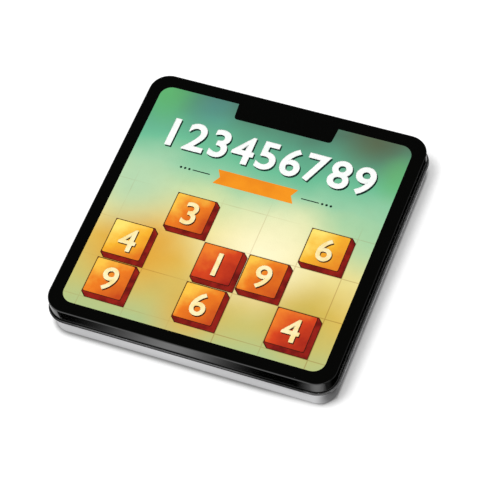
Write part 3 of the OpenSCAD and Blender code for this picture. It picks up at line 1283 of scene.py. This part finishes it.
@dataclass
class NumberTiles:
    """Printed faces of the magnetic tiles, on the board and on top of each pocket."""

    inset: float = 0.18 * MM
    corner: float = 1.05 * MM
    corner_steps: int = 5
    film: float = 0.05 * MM
    film_patch: float = 260.0
    ink: float = 0.03 * MM
    ink_patch: float = 300.0
    gloss: float = 0.34
    figure: float = 6.6 * MM
    weight: float = 0.012
    rubber: Colour = (0.03, 0.027, 0.025, 1.0)
    worn: Colour = (0.05, 0.046, 0.042, 1.0)
    slot: str = "tile_face"

    def face(self, name: str, node: str, figure: int, body: str) -> None:
        """Puts a printed face on the top of a tile.

        Args:
            name: Name of the face.
            node: CAD node of the tile or stack.
            figure: Its number.
            body: Body that carries it.
        """
        low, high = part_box(node)
        rim = Vector((self.inset, self.inset, 0.0))
        bottom = Vector((low.x, low.y, high.z - self.film / 2)) + rim
        top = high - rim + Vector((0, 0, self.film))
        film = PrintedInk("tile_film", srgb(246, 176, 56), srgb(240, 160, 44), self.film_patch, self.gloss)
        line = PrintedInk("tile_figure", srgb(60, 24, 10), srgb(74, 30, 12), self.ink_patch, self.gloss)
        plate = dress(Bench.plate(name, bottom, top, self.corner, steps=self.corner_steps), film)
        spot = Vector(((low.x + high.x) / 2, (low.y + high.y) / 2, high.z))
        depth = self.film + self.ink
        number = dress(Bench.number(f"{name}_number", figure, self.figure, spot, depth, self.weight), line)
        fix_to(Bench.join(name, [plate, number]), body, self.slot)

    def build(self) -> None:
        """Prints every tile that shows its top."""
        rubber = MouldedSheet("tile_rubber", self.rubber, self.worn)
        for row in range(ROWS):
            for box, side in enumerate(BOXES):
                node = f"tile_row{row + 1}_{side}"
                dress_nodes(rubber, node)
                self.face(f"face_row{row + 1}_{side}", node, tile_number(row, box), f"{node}_body")
        for figure in range(1, ROWS + 1):
            dress_nodes(rubber, f"tile_stack_{figure}")
            self.face(f"face_stack_{figure}", f"tile_stack_{figure}", figure, "base")


@dataclass
class StorageTray:
    """Formed tray with a small number in front of each tile pocket."""

    figure: float = 2.6 * MM
    weight: float = 0.012
    gap: float = 2.3 * MM
    ink: float = 0.04 * MM

    def build(self) -> None:
        """Dresses the tray and prints the pocket numbers."""
        dress_nodes(MouldedSheet(), "storage_tray")
        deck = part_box("storage_tray")[1].z
        pale = PrintedInk("pocket_ink", srgb(200, 200, 196), srgb(184, 184, 180))
        numbers: list[Piece] = []
        for figure in range(1, ROWS + 1):
            low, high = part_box(f"tile_stack_{figure}")
            spot = Vector(((low.x + high.x) / 2, low.y - self.gap, deck))
            made = Bench.number(f"pocket_{figure}", figure, self.figure, spot, self.ink, self.weight)
            numbers.append(dress(made, pale))
        fix_to(Bench.join("tray_pocket_numbers", numbers), "base", "tray_plastic")


@dataclass
class Booklet:
    """Stapled puzzle booklet under the board."""

    card_patch: float = 60.0
    staple_gloss: float = 0.3

    def build(self) -> None:
        """Dresses cover, pages and staples."""
        card = PrintedInk("cover_card", srgb(232, 156, 48), srgb(214, 132, 34), self.card_patch)
        dress_nodes(card, "booklet_cover")
        dress_nodes(PageBlock(), "booklet_pages")
        dress_nodes(Tinplate("staple_wire", gloss=self.staple_gloss), "booklet_staples")


@dataclass(frozen=True)
class ContactShade:
    """Shade of the floor near the tin, eased in front at the right, beside it and at that corner."""

    reach: float = 3.5 * MM
    samples: int = 16
    hidden: Span = (0.5, 0.98)
    darkest: float = 0.4
    front_aside: Span = (-43 * MM, 0.5 * MM)
    front_ahead: Span = (-4 * MM, 0.0)
    corner: Span = (-9 * MM, -6 * MM)
    right: Span = (-1.2 * MM, 0.3 * MM)
    ease: float = 0.92

    def light(self, sheet: NodeSheet, ahead: Socket, aside: Socket) -> Socket:
        """Finds the light that is left.

        Args:
            sheet: The floor's sheet of nodes.
            ahead: Distance in front of the lid's plain side.
            aside: Distance to the right of it.

        Returns:
            The share of the light.
        """
        low, high = self.hidden
        limits = {"From Min": low, "From Max": high, "To Min": self.darkest, "To Max": 1.0}
        seen = {"Value": sheet.open_air(self.reach, self.samples)}
        touched = sheet.add("ShaderNodeMapRange", seen | limits).outputs[0]
        front = sheet.times(sheet.fade(aside, self.front_aside), sheet.fade(ahead, self.front_ahead))
        corner = sheet.fade(sheet.plus(ahead, aside), self.corner)
        eased = sheet.most(corner, sheet.fade(aside, self.right), front)
        return sheet.blend(sheet.times(eased, self.ease), touched, 1.0)


@dataclass(frozen=True)
class FloorMirror:
    """Brightness of the floor in reflections: a soft sheen in front and shade at the right."""

    plain: float = 0.84
    glare: float = 1.02
    glare_rise: Span = (13 * MM, 20 * MM)
    glare_fall: Span = (250 * MM, 150 * MM)
    sheen: float = 1.1
    sheen_rise: Span = (-75 * MM, -8 * MM)
    sheen_fall: Span = (42 * MM, -14 * MM)
    strip_rise: Span = (5.4 * MM, 6.4 * MM)
    strip_fall: Span = (20 * MM, 13 * MM)
    lean: float = 0.8
    side: Span = (-2.5 * MM, -0.8 * MM)
    side_level: float = 0.2
    turn_aside: Span = (-11 * MM, 0.0)
    turn_ahead: Span = (7 * MM, 4 * MM)
    turn_level: float = 0.19
    line_rise: Span = (0.6 * MM, 1.2 * MM)
    line_fall: Span = (2.8 * MM, 2.3 * MM)
    line_ahead: Span = (-10 * MM, -24 * MM)
    line_level: float = 1.0
    dark_rise: Span = (2.3 * MM, 2.8 * MM)
    dark_fall: Span = (30 * MM, 12 * MM)
    dark_ahead: Span = (-8 * MM, 2 * MM)
    dark_level: float = 0.06
    corner_aside: float = -4 * MM
    corner_ahead: float = 10 * MM
    corner_squeeze: float = 0.5
    corner_reach: Span = (9 * MM, 1 * MM)
    corner_level: float = 1.0

    def level(self, sheet: NodeSheet, ahead: Socket, aside: Socket) -> Socket:
        """Finds the brightness.

        Args:
            sheet: The floor's sheet of nodes.
            ahead: Distance in front of the lid's plain side.
            aside: Distance to the right of it.

        Returns:
            The brightness.
        """
        x = sheet.axes(sheet.place())[0]
        sheen = sheet.math("POWER", sheet.band(x, self.sheen_rise, self.sheen_fall), 2.0)
        level = sheet.blend(sheet.band(ahead, self.glare_rise, self.glare_fall), self.plain, self.glare)
        strip = sheet.band(ahead, self.strip_rise, self.strip_fall)
        level = sheet.blend(strip, level, sheet.times(sheen, self.sheen))
        slant = sheet.minus(aside, sheet.times(sheet.most(ahead, 0.0), self.lean))
        level = sheet.blend(sheet.fade(slant, self.side), level, self.side_level)
        turn = sheet.times(sheet.fade(aside, self.turn_aside), sheet.fade(ahead, self.turn_ahead))
        level = sheet.blend(turn, level, self.turn_level)
        line = sheet.band(aside, self.line_rise, self.line_fall)
        line = sheet.times(line, sheet.fade(ahead, self.line_ahead))
        level = sheet.blend(line, level, self.line_level)
        dark = sheet.times(sheet.fade(ahead, self.dark_ahead), self.dark_level)
        level = sheet.blend(sheet.band(slant, self.dark_rise, self.dark_fall), level, dark)
        across = sheet.times(sheet.minus(aside, self.corner_aside), self.corner_squeeze)
        corner = sheet.distance(across, sheet.minus(ahead, self.corner_ahead))
        return sheet.blend(sheet.fade(corner, self.corner_reach), level, self.corner_level)


@dataclass
class Studio:
    """Pale floor, soft light and the photograph's camera."""

    camera_at: Spot = (0.29293, -0.51692, 0.89485)
    looks_at: Spot = (0.00413, -0.00955, 0.021)
    roll: float = -10.128
    lens: float = 166.14
    sensor: float = 36.0
    clip: Span = (0.01, 50.0)
    key_at: Spot = (-0.19, -0.28, 1.3)
    key_side: float = 0.4
    key_power: float = 9.5
    ambient: float = 0.55
    room: float = 0.02
    wall: float = 0.5
    wall_top: Span = (0.55, 0.3)
    wall_turn: Span = (-0.2, -0.5)
    floor_side: float = 8.0
    floor_drop: float = 0.05 * MM
    floor_gloss: float = 0.9
    paper: Colour = (0.94, 0.94, 0.94, 1.0)
    lift: float = 0.25
    shade: ContactShade = ContactShade()
    mirror: FloorMirror = FloorMirror()

    def floor(self) -> None:
        """Lays the pale floor, darker where the tin touches it and a little lit to the camera."""
        Bench.select()
        bpy.ops.mesh.primitive_plane_add(size=self.floor_side, location=(0, 0, -self.floor_drop))
        ground = Bench.settle("studio_floor")
        made = bpy.data.materials.new("studio_floor")
        made.use_nodes = True
        sheet = NodeSheet(made.node_tree)
        shader = made.node_tree.nodes["Principled BSDF"]
        x, y, _ = sheet.axes(sheet.place())
        low, high = CAD_BOX
        ways = sheet.minus(low.y + HEM_REACH, y), sheet.minus(x, high.x - HEM_REACH)
        light = self.shade.light(sheet, *ways)
        colour = sheet.mix(light, BLACK, self.paper)
        sheet.fill(shader, {"Base Color": colour, "Roughness": self.floor_gloss, "Specular IOR Level": 0.0})
        rays = sheet.add("ShaderNodeLightPath").outputs
        lift = sheet.glow(sheet.times(rays["Is Camera Ray"], light, self.lift))
        lit = sheet.add("ShaderNodeAddShader", {0: shader.outputs[0], 1: lift}).outputs[0]
        echo = sheet.glow(sheet.times(self.mirror.level(sheet, *ways), sheet.math("SQRT", light)))
        both = sheet.add("ShaderNodeMixShader", {0: rays["Is Glossy Ray"], 1: lit, 2: echo})
        sheet.fill(made.node_tree.nodes["Material Output"], {"Surface": both.outputs[0]})
        ground.data.materials.append(made)

    def world(self) -> None:
        """Lights from all round, white to the camera, with one bright wall in front in reflections."""
        sky = bpy.data.worlds.new("studio")
        bpy.context.scene.world = sky
        sky.use_nodes = True
        sheet = NodeSheet(sky.node_tree)
        sky.node_tree.nodes.clear()
        rays = sheet.add("ShaderNodeLightPath").outputs
        _, y, z = sheet.axes(sheet.add("ShaderNodeTexCoord").outputs["Generated"])
        ahead = sheet.times(sheet.fade(z, self.wall_top), sheet.fade(y, self.wall_turn))
        walls = sheet.blend(ahead, self.room, self.wall)
        level = sheet.blend(rays["Is Glossy Ray"], self.ambient, walls)
        seen = sheet.most(rays["Is Camera Ray"], rays["Is Transmission Ray"])
        light = {"Color": WHITE, "Strength": sheet.blend(seen, level, 1.0)}
        sheet.add("ShaderNodeOutputWorld", {"Surface": sheet.add("ShaderNodeBackground", light).outputs[0]})

    def lights(self) -> None:
        """Hangs the soft key light above the front left."""
        Bench.select()
        bpy.ops.object.light_add(type="AREA", location=self.key_at)
        key = bpy.context.object
        key.name = "key_light"
        key.data.shape = "SQUARE"
        key.data.size = self.key_side
        key.data.energy = self.key_power
        key.visible_glossy = False
        key.rotation_mode = "QUATERNION"
        key.rotation_quaternion = (-Vector(self.key_at)).to_track_quat("-Z", "Y")

    def camera(self) -> None:
        """Sets the camera where the photograph was taken from."""
        Bench.select()
        bpy.ops.object.camera_add(location=self.camera_at)
        eye = bpy.context.object
        eye.name = "photo_camera"
        eye.data.lens = self.lens
        eye.data.sensor_width = self.sensor
        eye.data.clip_start, eye.data.clip_end = self.clip
        eye.rotation_mode = "QUATERNION"
        aim = (Vector(self.looks_at) - Vector(self.camera_at)).to_track_quat("-Z", "Y")
        eye.rotation_quaternion = aim @ Quaternion((0, 0, 1), math.radians(self.roll))
        bpy.context.scene.camera = eye

    def build(self) -> None:
        """Sets up floor, light and camera."""
        bpy.context.scene.view_settings.view_transform = "Standard"
        self.floor()
        self.world()
        self.lights()
        self.camera()


def main() -> None:
    """Builds and dresses every sub-assembly in order."""
    logging.basicConfig(level=logging.INFO, format="%(name)s: %(message)s")
    for part in (TinCase(), LidPrint(), PlayingBoard(), NumberTiles(), StorageTray(), Booklet(), Studio()):
        part.build()
        LOG.info("%s is done", type(part).__name__)


if __name__ == "__main__":
    main()
